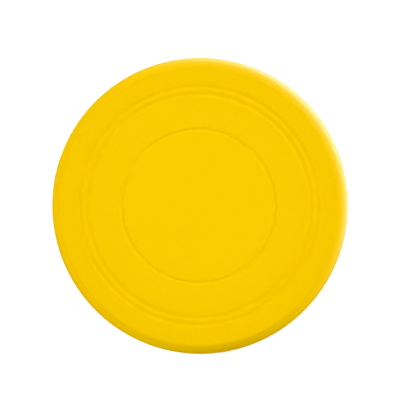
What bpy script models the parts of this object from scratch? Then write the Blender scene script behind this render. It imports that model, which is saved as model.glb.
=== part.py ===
"""Soft flying disc, moulded in one piece of silicone rubber.

The disc is one turned section. A thin flight plate, with a very low crown and three shallow
grooves, runs into a rounded shoulder. The rim hangs from the shoulder down to a beaded lip,
and the disc lies on that lip with its crown up. The origin is on the axis, in the plane that
the lip rests on.

Run it with: blender --background --python part.py
"""

import math

import bmesh
import bpy

# Overall size, in metres.
RIM_RADIUS = 0.0900
HEIGHT = 0.0220
SEGMENTS = 80

# Flight plate.
PLATE_RADIUS = 0.0832
PLATE_THICKNESS = 0.0020
CROWN_RISE = 0.0006

# Grooves in the top, as (share of the rim's radius, width, depth). A rib under each one keeps
# the plate from being thin there.
GROOVES = ((0.512, 0.0030, 0.00048), (0.7475, 0.0038, 0.00043), (0.795, 0.0036, 0.00044))
RIB_HEIGHT = 0.0005
RIB_WIDTH = 0.0036

# Shoulder: a tight bend where the plate ends, then one easy curve down to the widest point.
BREAK_BEND_RADIUS = 0.0026
BREAK_ANGLE = -30.0
SIDE_RADIUS = 0.0800
SIDE_LEAN = -95.0

# Lip: two rounded corners with a flat land between them, and a bead on the inside.
LIP_OUTER_RADIUS = 0.0022
LAND_WIDTH = 0.0016
LIP_INNER_RADIUS = 0.0015
BEAD_LEAN = -320.0
BEAD_FOOT_RADIUS = 0.0040
INNER_WALL_LEAN = -268.5
INNER_FILLET_RADIUS = 0.0050

# Round mark where the mould was filled, at the middle of the underside.
GATE_RADIUS = 0.0030
GATE_HEIGHT = 0.0004
GATE_SLOPE_WIDTH = 0.0004

# Points of the turned section closer than this are one point.
WELD_DISTANCE = 1e-6
SHARP_ANGLE = 40.0

SILICONE_YELLOW = (0.947, 0.604, 0.0003, 1.0)
SILICONE_ROUGHNESS = 0.62


class Pen:
    """Draws the section in the (radius, height) plane. Headings are in degrees from outwards, and
    go down as the pen turns clockwise."""

    def __init__(self, radius, height, heading):
        self.point = (radius, height)
        self.heading = heading
        self.points = [self.point]

    def bend(self, radius, heading, steps):
        """Curves to a new heading: clockwise for a positive radius, the other way for a negative one."""
        start = math.radians(self.heading)
        centre_r = self.point[0] + radius * math.sin(start)
        centre_z = self.point[1] - radius * math.cos(start)
        for step in range(1, steps + 1):
            now = start + (math.radians(heading) - start) * step / steps
            self.point = (centre_r - radius * math.sin(now), centre_z + radius * math.cos(now))
            self.points.append(self.point)
        self.heading = heading

    def run(self, length):
        """Goes straight on."""
        now = math.radians(self.heading)
        self.point = (self.point[0] + length * math.cos(now), self.point[1] + length * math.sin(now))
        self.points.append(self.point)

    def run_to_height(self, height):
        """Goes straight on to a given height."""
        self.run((height - self.point[1]) / math.sin(math.radians(self.heading)))


def crown(radius):
    """Height of the plate's top, with its grooves left out."""
    return HEIGHT - CROWN_RISE * (radius / PLATE_RADIUS) ** 2


def underside(radius):
    """Height of the plate's underside, with its ribs left out."""
    return crown(radius) - PLATE_THICKNESS


def wave(centre, width, depth, surface, steps=4):
    """Points across a rounded groove or rib of that depth below a surface."""
    points = []
    for step in range(steps + 1):
        offset = width * (step / steps - 0.5)
        drop = depth * (1 + math.cos(2 * math.pi * offset / width)) / 2
        points.append((centre + offset, surface(centre + offset) - drop))
    return points


def top_of_plate():
    """From the axis out to the plate's edge, across the three grooves."""
    points = [(0.0, crown(0.0))]
    for share, width, depth in GROOVES:
        points += wave(share * RIM_RADIUS, width, depth, crown)
    return points


def rim():
    """From the plate's edge over the shoulder, down to the lip and up inside to the plate again."""
    edge_slope = -math.degrees(math.atan(2 * CROWN_RISE / PLATE_RADIUS))
    pen = Pen(PLATE_RADIUS, crown(PLATE_RADIUS), edge_slope)
    pen.bend(BREAK_BEND_RADIUS, BREAK_ANGLE, steps=2)
    left = RIM_RADIUS - pen.point[0]
    pen.bend(left / (1 + math.sin(math.radians(BREAK_ANGLE))), -90.0, steps=6)
    pen.bend(SIDE_RADIUS, SIDE_LEAN, steps=2)
    pen.run_to_height(LIP_OUTER_RADIUS * (1 + math.cos(math.radians(SIDE_LEAN))))
    pen.bend(LIP_OUTER_RADIUS, -180.0, steps=4)
    pen.run(LAND_WIDTH)
    pen.bend(LIP_INNER_RADIUS, BEAD_LEAN, steps=5)
    pen.bend(-BEAD_FOOT_RADIUS, INNER_WALL_LEAN, steps=3)
    ceiling = underside(pen.point[0] - INNER_FILLET_RADIUS)
    lean = math.radians(INNER_WALL_LEAN)
    pen.run_to_height(ceiling - INNER_FILLET_RADIUS * (1 - math.cos(lean)))
    pen.bend(-INNER_FILLET_RADIUS, -180.0, steps=5)
    return pen.points


def underside_of_plate():
    """From the outermost rib in to the axis, with the gate mark in the middle."""
    points = []
    for share, _, _ in reversed(GROOVES):
        points += reversed(wave(share * RIM_RADIUS, RIB_WIDTH, RIB_HEIGHT, underside))
    foot = GATE_RADIUS + GATE_SLOPE_WIDTH
    points.append((foot, underside(foot)))
    points.append((GATE_RADIUS, underside(GATE_RADIUS) - GATE_HEIGHT))
    points.append((0.0, underside(0.0) - GATE_HEIGHT))
    return points


def turned(name, section):
    """Turns an open section, which starts and ends on the Z axis, into a solid. The first and the last
    copy meet, and each end point meets its own copies, so they are welded."""
    mesh = bpy.data.meshes.new(name)
    shape = bmesh.new()
    line = [shape.verts.new((radius, 0.0, height)) for radius, height in section]
    edges = [shape.edges.new(pair) for pair in zip(line, line[1:])]
    bmesh.ops.spin(
        shape,
        geom=line + edges,
        cent=(0.0, 0.0, 0.0),
        axis=(0.0, 0.0, 1.0),
        angle=2 * math.pi,
        steps=SEGMENTS,
    )
    bmesh.ops.remove_doubles(shape, verts=shape.verts, dist=WELD_DISTANCE)
    bmesh.ops.recalc_face_normals(shape, faces=shape.faces)
    shape.to_mesh(mesh)
    shape.free()
    mesh.shade_smooth()
    mesh.set_sharp_from_angle(angle=math.radians(SHARP_ANGLE))
    disc = bpy.data.objects.new(name, mesh)
    bpy.context.scene.collection.objects.link(disc)
    return disc


def silicone():
    """Matte yellow, coloured right through."""
    material = bpy.data.materials.new("yellow_silicone")
    material.use_nodes = True
    shader = material.node_tree.nodes["Principled BSDF"]
    shader.inputs["Base Color"].default_value = SILICONE_YELLOW
    shader.inputs["Roughness"].default_value = SILICONE_ROUGHNESS
    shader.inputs["Metallic"].default_value = 0.0
    return material


def main():
    for old in list(bpy.data.objects):
        bpy.data.objects.remove(old)
    disc = turned("disc", top_of_plate() + rim() + underside_of_plate())
    disc.data.materials.append(silicone())


main()
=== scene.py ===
"""Looks of the soft flying disc: a finely turned silicone moulding on a pale floor."""

import math

import bmesh
import bpy
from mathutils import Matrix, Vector


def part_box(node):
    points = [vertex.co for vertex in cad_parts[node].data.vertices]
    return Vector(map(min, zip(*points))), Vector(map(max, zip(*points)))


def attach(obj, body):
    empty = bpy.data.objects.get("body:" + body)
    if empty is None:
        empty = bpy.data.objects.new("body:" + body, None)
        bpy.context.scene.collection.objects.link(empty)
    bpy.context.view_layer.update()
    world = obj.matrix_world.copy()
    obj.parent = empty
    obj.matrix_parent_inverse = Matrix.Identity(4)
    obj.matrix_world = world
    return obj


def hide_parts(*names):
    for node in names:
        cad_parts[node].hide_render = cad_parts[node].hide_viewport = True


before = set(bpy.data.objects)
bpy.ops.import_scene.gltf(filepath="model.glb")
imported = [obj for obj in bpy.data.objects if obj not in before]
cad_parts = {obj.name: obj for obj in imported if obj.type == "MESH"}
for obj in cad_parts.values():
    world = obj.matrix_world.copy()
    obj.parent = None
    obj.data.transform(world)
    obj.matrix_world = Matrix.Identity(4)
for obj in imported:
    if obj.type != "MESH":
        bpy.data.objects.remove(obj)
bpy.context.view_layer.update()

LOW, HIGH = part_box("disc")
RIM_RADIUS = (HIGH.x - LOW.x) / 2
HEIGHT = HIGH.z - LOW.z
MM = 0.001

WHITE = (1.0, 1.0, 1.0, 1.0)

# Turned section, in metres. Angles are headings in degrees, which go down as the section turns
# clockwise.
SEGMENTS = 288
PLATE_RADIUS = 83.2 * MM
PLATE_THICKNESS = 2.0 * MM
CROWN_RISE = 0.6 * MM
# Grooves in the top, as (share of the rim's radius, width, depth). A rib under each one keeps the
# plate from being thin there.
GROOVES = (
    (0.512, 3.0 * MM, 0.48 * MM),
    (0.7475, 3.8 * MM, 0.43 * MM),
    (0.795, 3.6 * MM, 0.44 * MM),
)
RIB_HEIGHT = 0.5 * MM
RIB_WIDTH = 3.6 * MM
BREAK_BEND_RADIUS = 2.6 * MM
BREAK_ANGLE = -30.0
SIDE_RADIUS = 80.0 * MM
SIDE_LEAN = -95.0
LIP_OUTER_RADIUS = 2.2 * MM
LAND_WIDTH = 1.6 * MM
LIP_INNER_RADIUS = 1.5 * MM
BEAD_LEAN = -320.0
BEAD_FOOT_RADIUS = 4.0 * MM
INNER_WALL_LEAN = -268.5
INNER_FILLET_RADIUS = 5.0 * MM
# Round mark where the mould was filled, at the middle of the underside.
GATE_RADIUS = 3.0 * MM
GATE_HEIGHT = 0.4 * MM
GATE_SLOPE_WIDTH = 0.4 * MM
# Fine ridge on the side, where the two halves of the mould met.
PARTING_HEIGHT = 4.0 * MM
PARTING_WIDTH = 0.7 * MM
PARTING_RISE = 0.12 * MM
# Points of the turned section closer than this are one point.
WELD_DISTANCE = 1e-6

# Silicone. A pair is the lowest and the highest value. Most of a noise lies within MOST_NOISE.
MOST_NOISE = (0.3, 0.7)
YELLOW = (0.906, 0.573, 0.0003, 1.0)
ORANGE_YELLOW = (0.880, 0.539, 0.0003, 1.0)
SCUFFED_YELLOW = (0.860, 0.590, 0.030, 1.0)
ORANGE_STARTS = 0.45 * RIM_RADIUS
ORANGE_ENDS = 0.90 * RIM_RADIUS
ORANGE_FROM_RADIUS = 0.7
ORANGE_FROM_CLOUDS = 0.3
ROUGHNESS = (0.44, 0.54)
SILICONE_IOR = 1.41
CLOUD_SIZE = 38 * MM
ORANGE_CLOUDS = (0.35, 0.75)
CLOUD_SHADE = (-0.008, 0.008)
FLECK_SIZE = 1.6 * MM
FLECK_SHADE = (0.988, 1.012)
GRAIN_SIZE = 0.35 * MM
GRAIN_DEPTH = 0.005 * MM
RIPPLE_SIZE = 7.0 * MM
RIPPLE_DEPTH = 0.015 * MM
# Scuffs low on the lip: they are full up to one height and gone at the other.
SCRATCH_SIZE = 0.9 * MM
SCRATCHES = (0.52, 0.66)
SCUFF_HEIGHTS = (0.5 * MM, 3.5 * MM)
SCUFF_COVER = 0.8
SCUFF_ROUGHNESS = 0.1
SCUFF_DEPTH = 0.01 * MM

# Camera. The lens is in millimetres, and the disc's width and its place right and up from the middle
# are shares of the picture's width.
LENS = 120.0
VIEW_TILT = 3.5
DISC_WIDTH_IN_PICTURE = 0.73975
DISC_OFFSET_IN_PICTURE = (-0.00225, -0.014675)

# Round soft lamps, as (name, azimuth, elevation, width, power). "table" stands for the light that a
# white table throws back up.
LAMP_DISTANCE = 2.0
BODY_LAMPS = (
    ("key", 32.0, 20.0, 1.0, 40.3),
    ("back", 120.0, 15.0, 1.0, 14.8),
    ("left", 161.0, 35.0, 1.0, 20.0),
    ("side", 180.0, 15.0, 1.0, 14.4),
    ("front", 287.0, 28.0, 1.0, 28.2),
    ("table", 0.0, -90.0, 4.0, 32.0),
)
SHEEN_LAMPS = (
    ("sheen", 42.0, -27.0, 1.4, 37.0),
    ("sheen_right", 5.0, -33.0, 1.4, 25.0),
    ("sheen_back", 80.0, -33.0, 1.4, 21.0),
)
SHEEN_TINT = (0.80, 1.0, 0.76)

# Floor. Its glow is painted light: least under the rim, as a painted contact shadow, more round the disc
# and most far away.
FLOOR_SIZE = 12.0
FLOOR_GREY = (0.92, 0.92, 0.92, 1.0)
FLOOR_ROUGHNESS = 0.9
# Glow in the painted contact shadow under the rim.
PAINTED_SHADOW_GLOW = 0.1
GLOW_ROUND_DISC = 0.62
GLOW_FAR_AWAY = 1.0
CONTACT_SHADOW = (0.96 * RIM_RADIUS, 1.05 * RIM_RADIUS)
GLOW_RISE = (1.3 * RIM_RADIUS, 6 * RIM_RADIUS)


class Pen:
    """Draws the section in the (radius, height) plane. Headings are in degrees from outwards, and
    go down as the pen turns clockwise."""

    def __init__(self, radius, height, heading):
        self.point = (radius, height)
        self.heading = heading
        self.points = [self.point]

    def bend(self, radius, heading, steps):
        """Curves to a new heading: clockwise for a positive radius, the other way for a negative one."""
        start = math.radians(self.heading)
        centre_r = self.point[0] + radius * math.sin(start)
        centre_z = self.point[1] - radius * math.cos(start)
        for step in range(1, steps + 1):
            now = start + (math.radians(heading) - start) * step / steps
            self.point = (centre_r - radius * math.sin(now), centre_z + radius * math.cos(now))
            self.points.append(self.point)
        self.heading = heading

    def run(self, length, steps=1):
        """Goes straight on."""
        now = math.radians(self.heading)
        r, z = self.point
        for step in range(1, steps + 1):
            self.point = (
                r + length * math.cos(now) * step / steps,
                z + length * math.sin(now) * step / steps,
            )
            self.points.append(self.point)

    def run_to_height(self, height, steps=1):
        """Goes straight on to a given height."""
        self.run((height - self.point[1]) / math.sin(math.radians(self.heading)), steps)

    def ridge(self, width, rise, steps):
        """Goes straight on over a rounded ridge on the left."""
        now = math.radians(self.heading)
        r, z = self.point
        for step in range(1, steps + 1):
            along = width * step / steps
            proud = rise * (1 - math.cos(2 * math.pi * step / steps)) / 2
            self.point = (
                r + along * math.cos(now) - proud * math.sin(now),
                z + along * math.sin(now) + proud * math.cos(now),
            )
            self.points.append(self.point)


def crown(radius):
    """Height of the plate's top, with its grooves left out."""
    return HEIGHT - CROWN_RISE * (radius / PLATE_RADIUS) ** 2


def underside(radius):
    """Height of the plate's underside, with its ribs left out."""
    return crown(radius) - PLATE_THICKNESS


def wave(centre, width, depth, surface, steps=14):
    """Points across a rounded groove or rib of that depth below a surface."""
    points = []
    for step in range(steps + 1):
        offset = width * (step / steps - 0.5)
        drop = depth * (1 + math.cos(2 * math.pi * offset / width)) / 2
        points.append((centre + offset, surface(centre + offset) - drop))
    return points


def between(start, end, surface, steps):
    """Points on a surface between two radii, without the ends."""
    return [
        (r, surface(r))
        for r in (start + (end - start) * step / steps for step in range(1, steps))
    ]


def top_of_plate():
    """From the axis out to the plate's edge, across the three grooves."""
    points = [(0.0, crown(0.0))]
    for share, width, depth in GROOVES:
        groove = wave(share * RIM_RADIUS, width, depth, crown)
        points += between(points[-1][0], groove[0][0], crown, steps=8)
        points += groove
    points += between(points[-1][0], PLATE_RADIUS, crown, steps=6)
    return points


def rim():
    """From the plate's edge over the shoulder, down to the lip and up inside to the plate again."""
    edge_slope = -math.degrees(math.atan(2 * CROWN_RISE / PLATE_RADIUS))
    pen = Pen(PLATE_RADIUS, crown(PLATE_RADIUS), edge_slope)
    pen.bend(BREAK_BEND_RADIUS, BREAK_ANGLE, steps=6)
    left = RIM_RADIUS - pen.point[0]
    pen.bend(left / (1 + math.sin(math.radians(BREAK_ANGLE))), -90.0, steps=16)
    pen.bend(SIDE_RADIUS, SIDE_LEAN, steps=4)
    pen.run_to_height(PARTING_HEIGHT + PARTING_WIDTH / 2, steps=4)
    pen.ridge(PARTING_WIDTH, PARTING_RISE, steps=10)
    pen.run_to_height(LIP_OUTER_RADIUS * (1 + math.cos(math.radians(SIDE_LEAN))), steps=2)
    pen.bend(LIP_OUTER_RADIUS, -180.0, steps=10)
    pen.run(LAND_WIDTH, steps=2)
    pen.bend(LIP_INNER_RADIUS, BEAD_LEAN, steps=12)
    pen.bend(-BEAD_FOOT_RADIUS, INNER_WALL_LEAN, steps=8)
    ceiling = underside(pen.point[0] - INNER_FILLET_RADIUS)
    lean = math.radians(INNER_WALL_LEAN)
    pen.run_to_height(ceiling - INNER_FILLET_RADIUS * (1 - math.cos(lean)), steps=5)
    pen.bend(-INNER_FILLET_RADIUS, -180.0, steps=12)
    return pen.points


def underside_of_plate(start):
    """From the rim's inner corner in to the axis, with the gate mark in the middle."""
    points = []
    last = start
    for share, _, _ in reversed(GROOVES):
        rib = list(reversed(wave(share * RIM_RADIUS, RIB_WIDTH, RIB_HEIGHT, underside)))
        if rib[0][0] < last:
            points += between(last, rib[0][0], underside, steps=4)
        points += rib
        last = rib[-1][0]
    foot = GATE_RADIUS + GATE_SLOPE_WIDTH
    points += between(last, foot, underside, steps=8)
    points += [(foot, underside(foot)), (GATE_RADIUS, underside(GATE_RADIUS) - GATE_HEIGHT)]
    points += [(0.0, underside(0.0) - GATE_HEIGHT)]
    return points


def turned(name, section):
    """Turns an open section, which starts and ends on the Z axis, into a solid."""
    mesh = bpy.data.meshes.new(name)
    shape = bmesh.new()
    line = [shape.verts.new((radius, 0.0, height)) for radius, height in section]
    edges = [shape.edges.new(pair) for pair in zip(line, line[1:])]
    bmesh.ops.spin(
        shape,
        geom=line + edges,
        cent=(0, 0, 0),
        axis=(0, 0, 1),
        angle=2 * math.pi,
        steps=SEGMENTS,
    )
    bmesh.ops.remove_doubles(shape, verts=shape.verts, dist=WELD_DISTANCE)
    bmesh.ops.recalc_face_normals(shape, faces=shape.faces)
    shape.to_mesh(mesh)
    shape.free()
    mesh.shade_smooth()
    disc = bpy.data.objects.new(name, mesh)
    bpy.context.scene.collection.objects.link(disc)
    return disc


class Graph:
    """Adds and joins the nodes of a material or of the world."""

    def __init__(self, owner):
        owner.use_nodes = True
        self.tree = owner.node_tree

    def node(self, kind, **settings):
        made = self.tree.nodes.new(kind)
        for name, value in settings.items():
            setattr(made, name, value)
        return made

    def feed(self, socket, value):
        if isinstance(value, bpy.types.NodeSocket):
            self.tree.links.new(value, socket)
        else:
            socket.default_value = value

    def math(self, operation, *values):
        made = self.node("ShaderNodeMath", operation=operation)
        for socket, value in zip(made.inputs, values):
            self.feed(socket, value)
        return made.outputs[0]

    def total(self, *values):
        result = values[0]
        for value in values[1:]:
            result = self.math("ADD", result, value)
        return result

    def ramp(self, value, start, end, low=0.0, high=1.0):
        """Goes smoothly from low to high as the value goes from start to end."""
        made = self.node("ShaderNodeMapRange", interpolation_type="SMOOTHSTEP")
        for socket, setting in zip(made.inputs, (value, start, end, low, high)):
            self.feed(socket, setting)
        return made.outputs[0]

    def noise(self, place, size, detail=2.0, roughness=0.5):
        made = self.node("ShaderNodeTexNoise")
        self.feed(made.inputs["Vector"], place)
        made.inputs["Scale"].default_value = 1 / size
        made.inputs["Detail"].default_value = detail
        made.inputs["Roughness"].default_value = roughness
        return made.outputs[0]

    def mix(self, share, first, second):
        made = self.node("ShaderNodeMix", data_type="RGBA")
        self.feed(made.inputs[0], share)
        self.feed(made.inputs[6], first)
        self.feed(made.inputs[7], second)
        return made.outputs[2]

    def bump(self, height, distance, normal=None):
        made = self.node("ShaderNodeBump")
        made.inputs["Distance"].default_value = distance
        self.feed(made.inputs["Height"], height)
        if normal is not None:
            self.feed(made.inputs["Normal"], normal)
        return made.outputs[0]


def silicone():
    """Matte yellow rubber with a fine moulded grain. It is a little more orange towards the rim, and
    scuffed where the lip rubs on the ground."""
    material = bpy.data.materials.new("yellow_silicone")
    graph = Graph(material)
    shader = graph.tree.nodes["Principled BSDF"]
    place = graph.node("ShaderNodeTexCoord").outputs["Object"]
    split = graph.node("ShaderNodeSeparateXYZ")
    graph.feed(split.inputs[0], place)
    x, y, height = split.outputs
    radius = graph.math("SQRT", graph.total(graph.math("MULTIPLY", x, x), graph.math("MULTIPLY", y, y)))

    clouds = graph.noise(place, CLOUD_SIZE, detail=3.0)
    flecks = graph.noise(place, FLECK_SIZE, detail=4.0, roughness=0.65)
    grain = graph.noise(place, GRAIN_SIZE, detail=3.0, roughness=0.6)
    ripple = graph.noise(place, RIPPLE_SIZE, detail=1.0)
    scratches = graph.noise(place, SCRATCH_SIZE, detail=6.0, roughness=0.75)

    outwards = graph.ramp(radius, ORANGE_STARTS, ORANGE_ENDS)
    outwards = graph.math("MULTIPLY", outwards, ORANGE_FROM_RADIUS)
    orange = graph.total(outwards, graph.ramp(clouds, *ORANGE_CLOUDS, 0.0, ORANGE_FROM_CLOUDS))
    colour = graph.mix(orange, YELLOW, ORANGE_YELLOW)
    low = graph.ramp(height, *SCUFF_HEIGHTS, 1.0, 0.0)
    scuffed = graph.math("MULTIPLY", low, graph.ramp(scratches, *SCRATCHES))
    colour = graph.mix(graph.math("MULTIPLY", scuffed, SCUFF_COVER), colour, SCUFFED_YELLOW)
    fleck_shade = graph.ramp(flecks, *MOST_NOISE, *FLECK_SHADE)
    shade = graph.total(fleck_shade, graph.ramp(clouds, *MOST_NOISE, *CLOUD_SHADE))
    tint = graph.node("ShaderNodeVectorMath", operation="SCALE")
    graph.feed(tint.inputs[0], colour)
    graph.feed(tint.inputs["Scale"], shade)
    graph.feed(shader.inputs["Base Color"], tint.outputs[0])

    rough = graph.ramp(flecks, *MOST_NOISE, *ROUGHNESS)
    rough = graph.total(rough, graph.math("MULTIPLY", scuffed, SCUFF_ROUGHNESS))
    graph.feed(shader.inputs["Roughness"], rough)
    shader.inputs["IOR"].default_value = SILICONE_IOR
    rippled = graph.bump(ripple, RIPPLE_DEPTH)
    grained = graph.bump(grain, GRAIN_DEPTH, rippled)
    graph.feed(shader.inputs["Normal"], graph.bump(scuffed, -SCUFF_DEPTH, grained))
    return material


def pale_floor():
    """A white floor with a painted glow, dimmed under the rim as a painted contact shadow. It neither
    lights the disc nor shows in its sheen."""
    bpy.ops.mesh.primitive_plane_add(size=FLOOR_SIZE, location=(0, 0, LOW.z))
    floor = bpy.context.object
    floor.name = "floor"
    material = bpy.data.materials.new("pale_floor")
    graph = Graph(material)
    shader = graph.tree.nodes["Principled BSDF"]
    shader.inputs["Base Color"].default_value = FLOOR_GREY
    shader.inputs["Roughness"].default_value = FLOOR_ROUGHNESS
    shader.inputs["Specular IOR Level"].default_value = 0.0
    shader.inputs["Emission Color"].default_value = WHITE
    away = graph.node("ShaderNodeVectorMath", operation="LENGTH")
    graph.feed(away.inputs[0], graph.node("ShaderNodeTexCoord").outputs["Object"])
    radius = away.outputs["Value"]
    # Painted contact shadow: the glow is dimmed under the rim and rises round the disc.
    near = graph.ramp(radius, *CONTACT_SHADOW, PAINTED_SHADOW_GLOW, GLOW_ROUND_DISC)
    more = graph.ramp(radius, *GLOW_RISE, 0.0, GLOW_FAR_AWAY - GLOW_ROUND_DISC)
    graph.feed(shader.inputs["Emission Strength"], graph.total(near, more))
    floor.data.materials.append(material)
    floor.visible_diffuse = False
    floor.visible_glossy = False
    floor.visible_shadow = False


def direction(azimuth, elevation):
    """Unit vector to a place in the room, from its angles in degrees."""
    azimuth, elevation = math.radians(azimuth), math.radians(elevation)
    level = math.cos(elevation)
    return Vector((math.cos(azimuth) * level, math.sin(azimuth) * level, math.sin(elevation)))


def white_room():
    """White all round to the camera. The light comes from the lamps alone."""
    world = bpy.data.worlds.new("white_room")
    graph = Graph(world)
    background = graph.tree.nodes["Background"]
    background.inputs["Color"].default_value = WHITE
    seen = graph.node("ShaderNodeLightPath").outputs["Is Camera Ray"]
    graph.feed(background.inputs["Strength"], seen)
    bpy.context.scene.world = world


def lamp(name, azimuth, elevation, width, power, sheen=False):
    """Adds a soft lamp that faces the disc. It lights either the silicone's matte body or its sheen."""
    towards = direction(azimuth, elevation)
    light = bpy.data.lights.new(name, "AREA")
    light.shape = "DISK"
    light.size = width
    light.energy = power
    light.color = SHEEN_TINT if sheen else WHITE[:3]
    light.cycles.use_multiple_importance_sampling = False
    shown = bpy.data.objects.new(name, light)
    shown.location = towards * LAMP_DISTANCE
    shown.rotation_mode = "QUATERNION"
    shown.rotation_quaternion = towards.to_track_quat("Z", "Y")
    shown.visible_camera = False
    shown.visible_diffuse = not sheen
    shown.visible_glossy = sheen
    bpy.context.scene.collection.objects.link(shown)


def camera(height):
    """Looks down at the disc, a little from the right. The disc's widest ring is at that height."""
    data = bpy.data.cameras.new("camera")
    data.lens = LENS
    picture_width = 2 * RIM_RADIUS / DISC_WIDTH_IN_PICTURE
    distance = picture_width * LENS / data.sensor_width
    tilt = math.radians(VIEW_TILT)
    back = Vector((math.sin(tilt), 0, math.cos(tilt)))
    right = Vector((math.cos(tilt), 0, -math.sin(tilt)))
    target = Vector((0, 0, height))
    target -= right * DISC_OFFSET_IN_PICTURE[0] * picture_width
    target -= Vector((0, 1, 0)) * DISC_OFFSET_IN_PICTURE[1] * picture_width
    eye = bpy.data.objects.new("camera", data)
    eye.location = target + back * distance
    eye.rotation_euler = (0, tilt, 0)
    bpy.context.scene.collection.objects.link(eye)
    bpy.context.scene.camera = eye
    bpy.context.scene.view_settings.view_transform = "Standard"


rim_points = rim()
disc = turned("flying_disc", top_of_plate() + rim_points + underside_of_plate(rim_points[-1][0]))
disc.data.materials.append(silicone())
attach(disc, "root")
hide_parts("disc")
pale_floor()
white_room()
for settings in BODY_LAMPS:
    lamp(*settings)
for settings in SHEEN_LAMPS:
    lamp(*settings, sheen=True)
camera(max(rim_points)[1])
